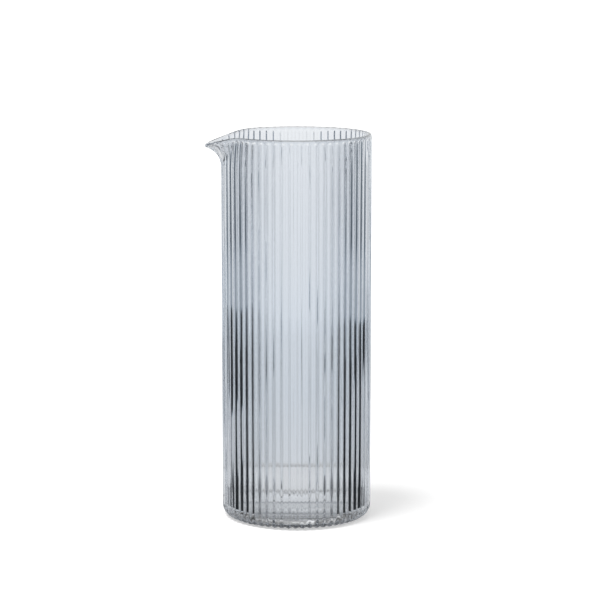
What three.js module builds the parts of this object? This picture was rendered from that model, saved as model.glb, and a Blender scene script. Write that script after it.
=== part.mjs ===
// A clear ribbed glass carafe for milk: a flat floor with a rounded heel, a straight fluted
// barrel and a rim with a drawn pouring lip. The real carafe is blown as one wall of glass. Here
// the wall is divided at two level planes into the three zones that a glassmaker works one by one.
// Millimetres, +Z up, origin at the centre of the underside, the lip pours towards -X.
import * as THREE from 'three';

// Body
const bodyDiameter = 88;
const overallHeight = 227;
const rimThickness = 2.8;
const footThickness = 3.9;
const rimRounding = 1.3;

// Ribs, as rounded waves round the outside
const ribCount = 60;
const grooveDepth = 1;
const rimGrooveDepth = 0.1;
const ribFadeHeight = 2;

// Foot
const floorThickness = 3;
const heelRadius = 6;
const coveRadius = 4.5;
const coveEdge = 0.25;

// Pouring lip: how far the rim is pulled out and down, how deep below the rim the pull
// starts, and the angles from the lip's middle at which the pull and the dip have faded
const lipReach = 9.4;
const lipDip = 5.8;
const lipDepth = 20;
const lipHalfAngle = 24;
const dipHalfAngle = 21;

// Smoothness of the faceted surfaces
const facetsPerRib = 4;
const heelSteps = 3;
const coveSteps = 4;
const rimSteps = 2;
const lipSteps = 5;

const outerRadius = bodyDiameter / 2;
const rimInnerRadius = outerRadius - rimThickness;
const footInnerRadius = outerRadius - footThickness;
const rimMiddleRadius = outerRadius - rimThickness / 2;
const wallTop = overallHeight - lipDepth;
const rimShoulder = overallHeight - rimRounding;
const lipDirection = Math.PI;

const glass = {
  color: 0xdce2e8,
  roughness: 0.04,
  metalness: 0,
  transparent: true,
  opacity: 0.45,
};

// A profile point: radius, height and the depth of the rib grooves there.
function point(radius, height, groove = 0) {
  return { radius, height, groove };
}

// Grooves run at full depth up the body and melt away towards the fire-polished rim.
function grooveAt(height) {
  const fadeStart = rimShoulder - ribFadeHeight;
  const fade = THREE.MathUtils.smoothstep(height, fadeStart, rimShoulder);
  return THREE.MathUtils.lerp(grooveDepth, rimGrooveDepth, fade);
}

// The inside of the glass has no grooves.
function smooth() {
  return 0;
}

function bodyPoint(height) {
  return point(outerRadius, height, grooveAt(height));
}

// How deep the surface lies below a rib's crest at an angle from the lip's middle,
// as a share of the groove's depth: 0 on the crest, 1 in the groove.
function ribShare(angle) {
  return Math.sin(angle * ribCount / 2) ** 2;
}

// Turns a profile round the Z axis and sinks the rib grooves into its outer points.
function turnRibbed(profile) {
  const outline = profile.map(({ radius, height }) => new THREE.Vector2(radius, height));
  const geometry = new THREE.LatheGeometry(outline, ribCount * facetsPerRib);
  geometry.rotateX(Math.PI / 2);
  const position = geometry.attributes.position;
  for (let i = 0; i < position.count; i += 1) {
    const { radius, height, groove } = profile[i % profile.length];
    const angle = Math.atan2(position.getY(i), position.getX(i));
    const sunk = radius - groove * ribShare(angle - lipDirection);
    position.setXYZ(i, sunk * Math.cos(angle), sunk * Math.sin(angle), height);
  }
  return geometry;
}

// Draws the lip: out and down in the middle, slightly pinched in at its two sides. The wall bends
// about its middle surface and keeps its thickness, so the lip ends in the rim's rounded edge.
function drawLip(geometry) {
  const position = geometry.attributes.position;
  const corner = new THREE.Vector3();
  const span = rimShoulder - wallTop;
  for (let i = 0; i < position.count; i += 1) {
    corner.fromBufferAttribute(position, i);
    const angle = Math.atan2(corner.y, corner.x);
    const turn = angle - lipDirection;
    const away = THREE.MathUtils.radToDeg(Math.atan2(Math.sin(turn), Math.cos(turn)));
    const pullShare = (away / lipHalfAngle) ** 2;
    const dipShare = (away / dipHalfAngle) ** 2;
    const pull = lipReach * (1 - pullShare) * Math.exp(-pullShare);
    const dip = lipDip * Math.exp(-dipShare);
    const level = Math.min(corner.z, rimShoulder);
    const rise = (level - wallTop) / span;
    const across = Math.hypot(corner.x, corner.y) - rimMiddleRadius;
    const beyond = corner.z - level;
    const lean = Math.atan2(2 * rise * pull, span - 2 * rise * dip);
    const shiftOut = across * Math.cos(lean) + beyond * Math.sin(lean);
    const shiftUp = beyond * Math.cos(lean) - across * Math.sin(lean);
    const radius = rimMiddleRadius + pull * rise ** 2 + shiftOut;
    const height = level - dip * rise ** 2 + shiftUp;
    position.setXYZ(i, radius * Math.cos(angle), radius * Math.sin(angle), height);
  }
  return geometry;
}

// Points along an arc from one angle to another, both ends included.
function arc(centreRadius, centreHeight, arcRadius, from, to, steps, grooveFor) {
  const points = [];
  for (let i = 0; i <= steps; i += 1) {
    const angle = THREE.MathUtils.lerp(from, to, i / steps);
    const height = centreHeight + arcRadius * Math.sin(angle);
    points.push(point(centreRadius + arcRadius * Math.cos(angle), height, grooveFor(height)));
  }
  return points;
}

// The angle on the heel's arc at a height, from -90 degrees at the underside to 0 on the barrel.
function heelAngle(height) {
  return Math.asin(Math.min(height / heelRadius, 1) - 1);
}

// The outside of the glass between two heights: round the heel and then straight up.
function outside(low, high) {
  const points = [];
  if (low < heelRadius) {
    const from = heelAngle(low);
    const to = heelAngle(high);
    const centre = outerRadius - heelRadius;
    points.push(...arc(centre, heelRadius, heelRadius, from, to, heelSteps, grooveAt));
  } else {
    points.push(bodyPoint(low));
  }
  if (high > heelRadius) {
    points.push(bodyPoint(high));
  }
  return points;
}

// The foot: a flat disc of glass, up to the level of the floor inside, with the ribbed heel's start.
function makeBase() {
  const profile = [point(0, 0), ...outside(0, floorThickness), point(0, floorThickness)];
  return turnRibbed(profile);
}

// The barrel: the rest of the heel, the straight wall and the rounded cove at the floor inside.
// Its inside opens a little towards the rim, because the wall is thicker at the foot.
function makeWall() {
  const coveHeight = floorThickness + coveRadius;
  const coveEnd = -Math.asin(1 - coveEdge / coveRadius);
  const coveCentre = footInnerRadius - coveRadius;
  const cove = arc(coveCentre, coveHeight, coveRadius, 0, coveEnd, coveSteps, smooth);
  const shell = outside(floorThickness, wallTop);
  const profile = [
    ...shell,
    point(rimInnerRadius, wallTop),
    ...cove,
    point(cove[coveSteps].radius, floorThickness),
    shell[0],
  ];
  return turnRibbed(profile);
}

// The rim: the top of the wall with two rounded edges, before and after the lip is drawn.
// Its levels crowd towards the top, where the lip bends most.
function makeRim() {
  const levels = [];
  for (let i = 0; i <= lipSteps; i += 1) {
    levels.push(THREE.MathUtils.lerp(wallTop, rimShoulder, Math.sqrt(i / lipSteps)));
  }
  const quarter = Math.PI / 2;
  const outerCentre = outerRadius - rimRounding;
  const innerCentre = rimInnerRadius + rimRounding;
  const outerEdge = arc(outerCentre, rimShoulder, rimRounding, 0, quarter, rimSteps, smooth);
  const innerEdge = arc(innerCentre, rimShoulder, rimRounding, quarter, Math.PI, rimSteps, smooth);
  const inside = levels.map((height) => point(rimInnerRadius, height)).reverse();
  const profile = [
    ...levels.map(bodyPoint),
    ...outerEdge.slice(1),
    ...innerEdge.slice(0, rimSteps),
    ...inside,
    bodyPoint(wallTop),
  ];
  return drawLip(turnRibbed(profile));
}

function glassMesh(name, geometry) {
  const mesh = new THREE.Mesh(geometry, new THREE.MeshStandardMaterial(glass));
  mesh.name = name;
  return mesh;
}

const carafe = new THREE.Group();
carafe.name = 'milk_carafe';
carafe.add(glassMesh('base', makeBase()));
carafe.add(glassMesh('fluted_wall', makeWall()));
carafe.add(glassMesh('pouring_rim', makeRim()));

export default carafe;
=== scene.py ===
import math

import bmesh
import bpy
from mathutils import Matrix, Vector, noise


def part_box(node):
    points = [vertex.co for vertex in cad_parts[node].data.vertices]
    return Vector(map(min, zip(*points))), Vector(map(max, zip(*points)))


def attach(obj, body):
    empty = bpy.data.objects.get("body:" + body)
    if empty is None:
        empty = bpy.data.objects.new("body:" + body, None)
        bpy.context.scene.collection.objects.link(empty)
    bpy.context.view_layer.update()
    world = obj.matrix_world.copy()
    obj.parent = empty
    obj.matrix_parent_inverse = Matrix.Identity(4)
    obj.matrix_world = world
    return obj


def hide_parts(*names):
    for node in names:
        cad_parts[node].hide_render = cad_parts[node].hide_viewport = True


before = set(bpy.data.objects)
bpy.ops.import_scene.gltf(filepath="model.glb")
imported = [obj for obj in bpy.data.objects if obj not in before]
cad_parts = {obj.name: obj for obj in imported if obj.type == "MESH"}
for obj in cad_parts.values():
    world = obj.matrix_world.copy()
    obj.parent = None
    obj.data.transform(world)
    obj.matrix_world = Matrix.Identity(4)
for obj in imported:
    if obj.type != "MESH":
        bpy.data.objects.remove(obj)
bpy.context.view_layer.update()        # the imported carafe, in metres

scene = bpy.context.scene
scene.view_settings.view_transform = "Standard"
bounces = 32             # light crosses many reeds at the edges
scene.cycles.max_bounces = bounces
scene.cycles.transmission_bounces = bounces
scene.cycles.glossy_bounces = bounces
tiny = 1e-6              # metres, below any real size

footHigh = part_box("base")[1]
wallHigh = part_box("fluted_wall")[1]
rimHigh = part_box("pouring_rim")[1]
print("frame loaded, carafe is", round(rimHigh.z * 1000, 1), "mm tall")

# the whole carafe is one blown skin of glass, turned from a half section and then reeded
glassBody = {
    "radius": wallHigh.y,
    "height": rimHigh.z,
    "floor": footHigh.z,
    "rimWall": 0.0028,
    "footWall": 0.0039,
    "rimRounding": 0.0013,
    "heel": 0.006,
    "cove": 0.0045,
    "heelSegments": 9,
    "coveSegments": 9,
    "rimSegments": 4,
    "wallCuts": 15,
    "lipCuts": 17,
    "floorCuts": 7,
}

# rounded reeds, a little uneven as blown glass is
reeds = {
    "count": 60,
    "steps": 14,
    "depth": 0.001,
    "rimDepth": 0.0001,
    "heelShare": 0.75,       # of the depth, left under the heel
    "start": 0.86,           # share of the flat underside's radius where they begin
    "fade": 0.0013,
    "sharpness": 0.56,
    "turn": -0.6,            # degrees from the lip's middle
    "uneven": 0.1,           # share of the depth
    "innerRipple": 0.00015,  # the inside follows the reeds a little
    "rippleFade": 0.02,
    "innerWaves": 0.00003,
    "waveTurns": 5.0,        # waves per radian and per metre
    "waveRise": 18.0,
    "outerSalt": 0,          # so the outside and the inside wander apart
    "innerSalt": 40,
}

# the lip is drawn out and down while the rim is hot
pouringLip = {
    "start": wallHigh.z,
    "reach": 0.0094,
    "dip": 0.0058,
    "halfAngle": 24,
    "dipHalfAngle": 21,
}


def smoothStep(value, low, high):
    t = min(max((value - low) / (high - low), 0.0), 1.0)
    return t * t * (3 - 2 * t)


def roundCorner(bm, corner, radius, segments):
    bmesh.ops.bevel(bm, geom=[corner], offset=radius, offset_type="OFFSET", segments=segments,
                    profile=0.5, affect="VERTICES", material=-1, clamp_overlap=False)


def halfSection(bm):
    g = glassBody
    innerRim = g["radius"] - g["rimWall"]
    innerFoot = g["radius"] - g["footWall"]
    corners = [(0, 0), (g["radius"], 0), (g["radius"], g["height"]), (innerRim, g["height"]),
               (innerRim, pouringLip["start"]), (innerFoot, g["floor"]), (0, g["floor"])]
    verts = [bm.verts.new((x, 0, z)) for x, z in corners]
    for first, second in zip(verts, verts[1:]):
        bm.edges.new((first, second))
    heelCorner, outerEdge, innerEdge, coveCorner = verts[1], verts[2], verts[3], verts[5]
    roundCorner(bm, heelCorner, g["heel"], g["heelSegments"])
    roundCorner(bm, coveCorner, g["cove"], g["coveSegments"])
    roundCorner(bm, outerEdge, g["rimRounding"], g["rimSegments"])
    roundCorner(bm, innerEdge, g["rimRounding"], g["rimSegments"])
    # a level cut where the lip starts, so its part of the wall gets more loops
    bmesh.ops.bisect_plane(bm, geom=bm.verts[:] + bm.edges[:], plane_co=(0, 0, pouringLip["start"]),
                           plane_no=(0, 0, 1))
    for edge in bm.edges[:]:
        low, high = sorted(v.co.z for v in edge.verts)
        if high - low > g["height"] / 2:
            bmesh.ops.subdivide_edges(bm, edges=[edge], cuts=g["wallCuts"])
        elif low > pouringLip["start"] - tiny and high - low > g["rimWall"] * 2:
            bmesh.ops.subdivide_edges(bm, edges=[edge], cuts=g["lipCuts"])
        elif high - low < tiny and edge.calc_length() > g["radius"] / 2:
            bmesh.ops.subdivide_edges(bm, edges=[edge], cuts=g["floorCuts"])


def ribShare(angle):
    pitch = 2 * math.pi / reeds["count"]
    k = reeds["sharpness"]
    return (math.asin(k * math.sin(math.pi * angle / pitch)) / math.asin(k)) ** 2


def drift(x, y, z, salt):
    # a slow wander round the barrel and up it, between -1 and 1
    angle = math.atan2(y, x)
    turns = reeds["waveTurns"]
    rise = z * reeds["waveRise"] + salt
    return noise.noise(Vector((math.cos(angle) * turns, math.sin(angle) * turns, rise)))


def reedWall(bm):
    g = glassBody
    middle = g["radius"] - g["rimWall"] / 2
    contact = g["radius"] - g["heel"]
    start = contact * reeds["start"]
    top = g["height"] - g["rimRounding"]
    for v in bm.verts:
        x, y, z = v.co
        radius = math.hypot(x, y)
        if radius < start:
            continue
        angle = math.atan2(y, x) - math.radians(reeds["turn"])
        outward, upward = 1.0, 0.0
        if radius > middle or z < g["floor"] - tiny:
            fade = smoothStep(z, top - reeds["fade"], top)
            wander = drift(x, y, z, reeds["outerSalt"])
            depth = reeds["depth"] * (1 + reeds["uneven"] * wander) * (1 - fade)
            depth = (depth + reeds["rimDepth"] * fade) * smoothStep(radius, start, contact)
            if z < g["heel"]:
                # the reeds run on round the heel and die out under it
                outward = max(radius - contact, 0) / g["heel"]
                upward = -math.sqrt(1 - min(outward, 1) ** 2)
                depth *= 1 + (reeds["heelShare"] - 1) * upward ** 2
            if z > top:
                depth *= smoothStep(radius, middle, g["radius"])
            moved = -depth * ribShare(angle)
        else:
            ripple = reeds["innerRipple"] / 2 * math.cos(reeds["count"] * angle)
            ripple *= smoothStep(z, g["floor"], g["floor"] + g["cove"])
            ripple *= smoothStep(top - z, 0, reeds["rippleFade"])
            waves = reeds["innerWaves"] * drift(x, y, z, reeds["innerSalt"])
            moved = waves * smoothStep(top - z, 0, g["rimWall"]) + ripple
        v.co.x += moved * outward * x / radius
        v.co.y += moved * outward * y / radius
        v.co.z += moved * upward


def drawLip(bm):
    # the wall bends with its thickness kept, so the lip ends in the same rounded edge as the rim
    p = pouringLip
    shoulder = glassBody["height"] - glassBody["rimRounding"]
    middle = glassBody["radius"] - glassBody["rimWall"] / 2
    span = shoulder - p["start"]
    for v in bm.verts:
        height = min(v.co.z, shoulder)
        beyond = v.co.z - height
        rise = (height - p["start"]) / span
        if rise <= 0:
            continue
        away = math.degrees(math.atan2(v.co.y, -v.co.x))
        radius = math.hypot(v.co.x, v.co.y)
        across = radius - middle
        pullShare = (away / p["halfAngle"]) ** 2
        pull = p["reach"] * (1 - pullShare) * math.exp(-pullShare)
        dip = p["dip"] * math.exp(-(away / p["dipHalfAngle"]) ** 2)
        slopeOut = 2 * rise * pull / span
        slopeUp = 1 - 2 * rise * dip / span
        slope = math.hypot(slopeOut, slopeUp)
        drawn = middle + pull * rise ** 2 + (across * slopeUp + beyond * slopeOut) / slope
        v.co.x *= drawn / radius
        v.co.y *= drawn / radius
        v.co.z = height - dip * rise ** 2 + (beyond * slopeUp - across * slopeOut) / slope


def makeGlassBody():
    bm = bmesh.new()
    halfSection(bm)
    bmesh.ops.spin(bm, geom=bm.verts[:] + bm.edges[:], cent=(0, 0, 0), axis=(0, 0, 1), dvec=(0, 0, 0),
                   angle=2 * math.pi, steps=reeds["count"] * reeds["steps"], use_merge=True)
    bmesh.ops.remove_doubles(bm, verts=bm.verts[:], dist=tiny)
    bmesh.ops.recalc_face_normals(bm, faces=bm.faces[:])
    reedWall(bm)
    drawLip(bm)
    for face in bm.faces:
        face.smooth = True
    mesh = bpy.data.meshes.new("carafe_glass")
    bm.to_mesh(mesh)
    bm.free()
    carafe = bpy.data.objects.new("carafe_glass", mesh)
    scene.collection.objects.link(carafe)
    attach(carafe, "root")
    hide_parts("base", "fluted_wall", "pouring_rim")
    print("glass body", len(mesh.polygons), "faces")
    return carafe


clearGlass = {
    "ior": 1.5,
    "roughness": (0.0, 0.025),
    "smearScale": 60.0,
    "smearEdge": (0.4, 0.8),
    "skinScale": (140.0, 140.0, 22.0),
    "skinStrength": 0.06,
    "skinDistance": 0.0002,
    "colour": (0.95, 0.965, 0.985),
    "tint": (0.75, 0.85, 1.0),
    "density": 5.0,
}


def makeClearGlass():
    material = bpy.data.materials.new("clear_glass")
    material.use_nodes = True
    nodes = material.node_tree.nodes
    links = material.node_tree.links
    shader = nodes["Principled BSDF"]
    shader.inputs["Base Color"].default_value = (*clearGlass["colour"], 1)
    shader.inputs["Transmission Weight"].default_value = 1.0
    shader.inputs["IOR"].default_value = clearGlass["ior"]
    # long faint waves of the blown skin, and a polish that is a little uneven
    coords = nodes.new("ShaderNodeTexCoord")
    stretch = nodes.new("ShaderNodeMapping")
    stretch.inputs["Scale"].default_value = clearGlass["skinScale"]
    links.new(coords.outputs["Object"], stretch.inputs["Vector"])
    skin = nodes.new("ShaderNodeTexNoise")
    skin.inputs["Scale"].default_value = 1.0
    links.new(stretch.outputs["Vector"], skin.inputs["Vector"])
    bump = nodes.new("ShaderNodeBump")
    bump.inputs["Strength"].default_value = clearGlass["skinStrength"]
    bump.inputs["Distance"].default_value = clearGlass["skinDistance"]
    links.new(skin.outputs["Fac"], bump.inputs["Height"])
    links.new(bump.outputs["Normal"], shader.inputs["Normal"])
    smear = nodes.new("ShaderNodeTexNoise")
    smear.inputs["Scale"].default_value = clearGlass["smearScale"]
    links.new(coords.outputs["Object"], smear.inputs["Vector"])
    polish = nodes.new("ShaderNodeMapRange")
    names = ("From Min", "From Max", "To Min", "To Max")
    for name, number in zip(names, (*clearGlass["smearEdge"], *clearGlass["roughness"])):
        polish.inputs[name].default_value = number
    links.new(smear.outputs["Fac"], polish.inputs["Value"])
    links.new(polish.outputs["Result"], shader.inputs["Roughness"])
    volume = nodes.new("ShaderNodeVolumeAbsorption")
    volume.inputs["Color"].default_value = (*clearGlass["tint"], 1)
    volume.inputs["Density"].default_value = clearGlass["density"]
    links.new(volume.outputs["Volume"], nodes["Material Output"].inputs["Volume"])
    return material


carafe = makeGlassBody()
carafe.data.materials.append(makeClearGlass())

stage = {
    "floorSize": 40.0,
    "floorDrop": 0.0002,
    "floorColor": (0.8, 0.8, 0.8),
    "floorGlow": 0.465,
    "standSide": 0.046,
    "standDepth": 0.094,
    "standMiddle": 0.03,
    # painted light and shade that the glass sees on the table, in place of its real shading: metres
    # behind the axis, and brightness there
    "standPaintedShading": [(-0.06, 0.3), (-0.043, 0.34), (-0.039, 0.74), (-0.035, 0.32), (-0.031, 0.48),
                   (-0.028, 0.05), (-0.024, 0.42), (-0.02, 0.06), (-0.016, 0.46), (-0.012, 0.12),
                   (-0.008, 0.53), (0.0, 0.56), (0.011, 0.58), (0.0118, 0.17), (0.0142, 0.17),
                   (0.0152, 0.71), (0.036, 0.78), (0.0425, 0.76), (0.0435, 0.46), (0.0462, 0.46),
                   (0.0472, 0.77), (0.1125, 0.79), (0.114, 0.34), (0.1168, 0.34), (0.1185, 0.68),
                   (0.13, 0.68)],
    # painted glitter: spots of painted light on the table under the front of the heel, in place of
    # light gathered by the reeds
    "paintedGlitterScale": 120.0,
    "paintedGlitterEdge": (0.46, 0.6),
    "paintedGlitterRange": (0.62, 1.4),
    "paintedGlitterFade": (0.012, -0.004),
    "worldLight": 0.5,
    "sunStrength": 1.8,
    "sunAngle": 18,
    "sunTilt": 16,
    "sunTurn": -53,
}


def mathNode(tree, operation, first, second=None, third=None):
    node = tree.nodes.new("ShaderNodeMath")
    node.operation = operation
    for socket, value in zip(node.inputs, (first, second, third)):
        if value is None:
            continue
        if isinstance(value, (int, float)):
            socket.default_value = value
        else:
            tree.links.new(value, socket)
    return node.outputs[0]


def rampUp(tree, value, low, high, start=0.0, end=1.0):
    node = tree.nodes.new("ShaderNodeMapRange")
    node.interpolation_type = "SMOOTHSTEP"
    for name, number in (("From Min", low), ("From Max", high), ("To Min", start), ("To Max", end)):
        node.inputs[name].default_value = number
    tree.links.new(value, node.inputs["Value"])
    return node.outputs["Result"]


def rampAlong(tree, value, stops):
    # stops are a place and a grey or a colour, in order
    low, high = stops[0][0], stops[-1][0]
    share = tree.nodes.new("ShaderNodeMapRange")
    share.inputs["From Min"].default_value = low
    share.inputs["From Max"].default_value = high
    tree.links.new(value, share.inputs["Value"])
    ramp = tree.nodes.new("ShaderNodeValToRGB")
    elements = ramp.color_ramp.elements
    while len(elements) < len(stops):
        elements.new(0.5)
    for element, (place, colour) in zip(elements, stops):
        element.position = (place - low) / (high - low)
        element.color = (*colour, 1) if isinstance(colour, tuple) else (colour, colour, colour, 1)
    tree.links.new(share.outputs["Result"], ramp.inputs["Fac"])
    return ramp.outputs["Color"]


def mixValues(tree, factor, first, second):
    node = tree.nodes.new("ShaderNodeMix")
    node.data_type = "FLOAT"
    for name, value in (("Factor", factor), ("A", first), ("B", second)):
        if isinstance(value, (int, float)):
            node.inputs[name].default_value = value
        else:
            tree.links.new(value, node.inputs[name])
    return node.outputs["Result"]


def mixColours(tree, factor, first, second, blend="MIX"):
    node = tree.nodes.new("ShaderNodeMix")
    node.data_type = "RGBA"
    node.blend_type = blend
    sockets = {socket.identifier: socket for socket in (*node.inputs, *node.outputs)}
    tree.links.new(factor, sockets["Factor_Float"])
    for name, value in (("A_Color", first), ("B_Color", second)):
        if isinstance(value, tuple):
            sockets[name].default_value = (*value, 1)
        else:
            tree.links.new(value, sockets[name])
    return sockets["Result_Color"]


def seenInGlass(tree, path):
    return mathNode(tree, "MAXIMUM", path.outputs["Is Glossy Ray"], path.outputs["Is Transmission Ray"])


def mixShaders(tree, factor, first, second):
    node = tree.nodes.new("ShaderNodeMixShader")
    tree.links.new(factor, node.inputs[0])
    tree.links.new(first.outputs[0], node.inputs[1])
    tree.links.new(second.outputs[0], node.inputs[2])
    return node


def makeFloor():
    bm = bmesh.new()
    bmesh.ops.create_grid(bm, x_segments=1, y_segments=1, size=stage["floorSize"] / 2)
    bmesh.ops.translate(bm, verts=bm.verts[:], vec=(0, 0, -stage["floorDrop"]))
    mesh = bpy.data.meshes.new("floor")
    bm.to_mesh(mesh)
    bm.free()
    floor = bpy.data.objects.new("floor", mesh)
    scene.collection.objects.link(floor)
    material = bpy.data.materials.new("floor")
    material.use_nodes = True
    tree = material.node_tree
    shader = tree.nodes["Principled BSDF"]
    shader.inputs["Base Color"].default_value = (*stage["floorColor"], 1)
    shader.inputs["Roughness"].default_value = 1.0
    shader.inputs["Specular IOR Level"].default_value = 0.0
    shader.inputs["Emission Color"].default_value = (1, 1, 1, 1)
    path = tree.nodes.new("ShaderNodeLightPath")
    glow = mathNode(tree, "MULTIPLY", path.outputs["Is Camera Ray"], stage["floorGlow"])
    tree.links.new(glow, shader.inputs["Emission Strength"])
    # in the glass the floor shows only under the carafe and just behind it, as painted light and shade:
    # emission bands, darker towards the front, in place of the table's lit and shaded parts, with a
    # dark line at its far edge
    coords = tree.nodes.new("ShaderNodeTexCoord")
    split = tree.nodes.new("ShaderNodeSeparateXYZ")
    tree.links.new(coords.outputs["Object"], split.inputs[0])
    glassRay = seenInGlass(tree, path)
    side = mathNode(tree, "ABSOLUTE", split.outputs["X"])
    behind = mathNode(tree, "SUBTRACT", split.outputs["Y"], stage["standMiddle"])
    depth = mathNode(tree, "ABSOLUTE", behind)
    wide = mathNode(tree, "GREATER_THAN", side, stage["standSide"])
    deep = mathNode(tree, "GREATER_THAN", depth, stage["standDepth"])
    clear = mathNode(tree, "MULTIPLY", glassRay, mathNode(tree, "MAXIMUM", wide, deep))
    through = tree.nodes.new("ShaderNodeBsdfTransparent")
    # painted light and shade: an emission whose brightness steps with the distance behind the axis
    paintedTableGlow = tree.nodes.new("ShaderNodeEmission")
    tree.links.new(rampAlong(tree, split.outputs["Y"], stage["standPaintedShading"]), paintedTableGlow.inputs["Color"])
    # painted glitter: noise spots brighten and dim the painted emission under the front of the heel
    paintedGlitterNoise = tree.nodes.new("ShaderNodeTexNoise")
    paintedGlitterNoise.inputs["Scale"].default_value = stage["paintedGlitterScale"]
    tree.links.new(coords.outputs["Object"], paintedGlitterNoise.inputs["Vector"])
    paintedGlitter = rampUp(tree, paintedGlitterNoise.outputs["Fac"], *stage["paintedGlitterEdge"], *stage["paintedGlitterRange"])
    front = rampUp(tree, split.outputs["Y"], *stage["paintedGlitterFade"])
    tree.links.new(mixValues(tree, front, 1.0, paintedGlitter), paintedTableGlow.inputs["Strength"])
    inGlass = mixShaders(tree, clear, paintedTableGlow, through)
    surface = mixShaders(tree, glassRay, shader, inGlass)
    tree.links.new(surface.outputs[0], tree.nodes["Material Output"].inputs["Surface"])
    mesh.materials.append(material)


# what the glass shows: a bright sweep behind, a dim front, and dim sides with a dark lower half
surroundings = {
    # degrees round from the side, where 90 is straight behind, and brightness there
    "highSides": [(-90, 0.45), (-20, 0.45), (-12, 0.08), (12, 0.08), (20, 0.13), (31, 0.17), (39, 0.62),
                  (48, 0.91), (60, 1.0), (90, 1.03)],
    "lowSides": [(-90, 0.25), (-20, 0.3), (15, 0.6), (50, 0.75), (60, 0.9), (90, 1.0)],
    "topSides": [(-90, 0.3), (-10, 0.05), (39, 0.03), (46, 0.4), (54, 0.9), (90, 1.0)],
    "topStart": (5, 12),
    # the sides are paler in a belt just above the dark zone: elevations, and brightness there
    "paleBelt": (-8.2, -9.6, 0.0, 0.42),
    # the dark zone below: where its top is, how that sinks near the side and on the right, and how far
    # round to the back the zone reaches at each elevation
    "darkTop": (-10.45, -10.2),
    "darkSlant": (9, 20, 1.0, 0.0),
    "rightDrop": 0.3,
    "darkFront": (-18, -10),
    "leftReach": [(-20, 0), (-19.5, 0), (-16.5, 60), (-14.7, 60), (-14.3, 42), (-13.9, 27), (-13.5, 21),
                  (-12.9, 21), (-12.6, 30), (-12.3, 41), (-11.9, 45), (-11.4, 44), (-10.9, 41),
                  (-10.4, 38), (-9.5, 36), (0, 36)],
    "rightReach": [(-20, 0), (-19.5, 0), (-16.5, 62), (-14.7, 62), (-14.4, 48), (-14.1, 33),
                   (-13.6, 28), (-12.4, 29), (-12, 35), (-11.6, 43), (-11.3, 48), (-10.9, 48),
                   (-10.5, 44), (-9.5, 42), (0, 42)],
    "fullReach": 100,        # degrees that stand for 1 in a ramp
    "darkEdge": 4,
    "darkLevel": 0.005,
    # dim places are bluer: the brightness at which that ends, and the tint of black
    "dimEnd": 0.9,
    "dimTint": (0.72, 0.88, 1.04),
    # degrees above the horizon, brightness, coolness
    "levels": [(-90, 0.88, 0.01), (-52, 0.85, 0.01), (-42, 0.3, 0.01), (-29, 0.94, 0.01),
               (-16, 0.875, 0.013), (-13.5, 0.84, 0.05), (-12, 0.84, 0.08), (-10.5, 0.86, 0.08),
               (-9, 0.862, 0.05), (-6, 0.91, 0.03), (0, 0.94, 0.03), (6, 0.94, 0.03), (14, 0.75, 0.02),
               (28, 0.35, 0.01), (32, 0.2, 0.01), (34, 1.05, 0.01), (41, 1.05, 0.01), (43, 0.1, 0.01),
               (90, 0.1, 0.01)],
}


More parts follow.
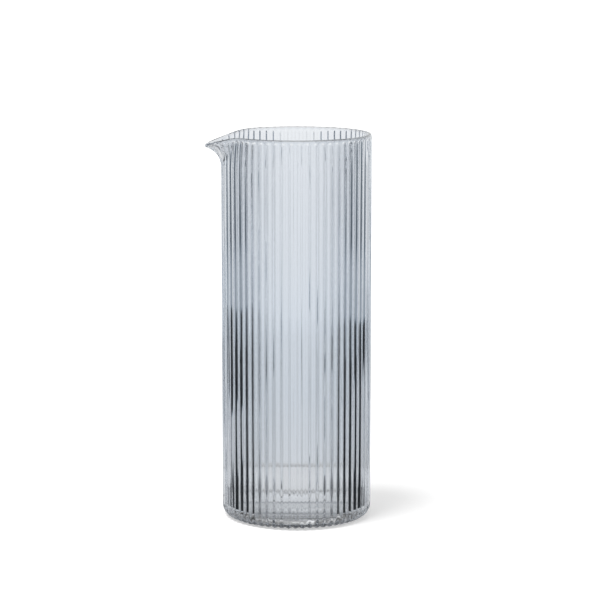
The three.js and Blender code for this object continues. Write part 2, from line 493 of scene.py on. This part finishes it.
def makeWorld():
    q = surroundings
    world = bpy.data.worlds.new("studio")
    scene.world = world
    world.use_nodes = True
    tree = world.node_tree
    background = tree.nodes["Background"]
    coords = tree.nodes.new("ShaderNodeTexCoord")
    split = tree.nodes.new("ShaderNodeSeparateXYZ")
    tree.links.new(coords.outputs["Generated"], split.inputs[0])
    side = mathNode(tree, "ABSOLUTE", split.outputs["X"])
    turn = mathNode(tree, "DEGREES", mathNode(tree, "ARCTAN2", split.outputs["Y"], side))
    lift = mathNode(tree, "DEGREES", mathNode(tree, "ARCSINE", split.outputs["Z"]))
    tones = [(level, (value * (1 - cool), value * (1 - cool / 2), value))
             for level, value, cool in q["levels"]]
    tone = rampAlong(tree, lift, tones)
    high = rampAlong(tree, turn, q["highSides"])
    high = mathNode(tree, "MAXIMUM", high, rampUp(tree, lift, *q["paleBelt"]))
    low = rampAlong(tree, turn, q["lowSides"])
    left, right = [rampAlong(tree, lift, [(level, angle / q["fullReach"]) for level, angle in q[name]])
                   for name in ("leftReach", "rightReach")]
    onRight = mathNode(tree, "GREATER_THAN", split.outputs["X"], 0.0)
    reach = mixValues(tree, onRight, left, right)
    past = mathNode(tree, "MULTIPLY_ADD", reach, -q["fullReach"], turn)
    pale = rampUp(tree, past, -q["darkEdge"], q["darkEdge"])
    pale = mathNode(tree, "MAXIMUM", pale, rampUp(tree, turn, *q["darkFront"], 1.0, 0.0))
    low = mixValues(tree, pale, q["darkLevel"], low)
    edge = mathNode(tree, "ADD", lift, rampUp(tree, turn, *q["darkSlant"]))
    edge = mathNode(tree, "MULTIPLY_ADD", onRight, q["rightDrop"], edge)
    shade = mixValues(tree, rampUp(tree, edge, *q["darkTop"]), low, high)
    top = rampAlong(tree, turn, q["topSides"])
    shade = mixValues(tree, rampUp(tree, lift, *q["topStart"]), shade, top)
    dimness = rampUp(tree, shade, 0.0, q["dimEnd"], 1.0, 0.0)
    tone = mixColours(tree, dimness, tone, q["dimTint"], "MULTIPLY")
    # the camera itself sees plain white, and the fill light is plain too
    path = tree.nodes.new("ShaderNodeLightPath")
    glassRay = seenInGlass(tree, path)
    plain = mixValues(tree, path.outputs["Is Camera Ray"], stage["worldLight"], 1.0)
    tree.links.new(mixValues(tree, glassRay, plain, shade), background.inputs["Strength"])
    colour = mixColours(tree, glassRay, (1, 1, 1), tone)
    tree.links.new(colour, background.inputs["Color"])


def makeSun():
    data = bpy.data.lights.new("key", "SUN")
    data.energy = stage["sunStrength"]
    data.angle = math.radians(stage["sunAngle"])
    key = bpy.data.objects.new("key", data)
    key.rotation_euler = (math.radians(stage["sunTilt"]), 0, math.radians(stage["sunTurn"]))
    scene.collection.objects.link(key)
    # the lamp is kept out of the glass, where it would leave hard sparkles
    key.visible_glossy = False
    key.visible_transmission = False


view = {
    "distance": 1.425,
    "height": 0.368,
    "side": 0.0021,
    "tilt": 9.54,
    "lens": 147.2,
    "sensor": 36,
}


def makeCamera():
    data = bpy.data.cameras.new("camera")
    data.lens = view["lens"]
    data.sensor_width = view["sensor"]
    camera = bpy.data.objects.new("camera", data)
    camera.location = (view["side"], -view["distance"], view["height"])
    camera.rotation_euler = (math.radians(90 - view["tilt"]), 0, 0)
    scene.collection.objects.link(camera)
    scene.camera = camera


makeFloor()
makeWorld()
makeSun()
makeCamera()
print("stage set")
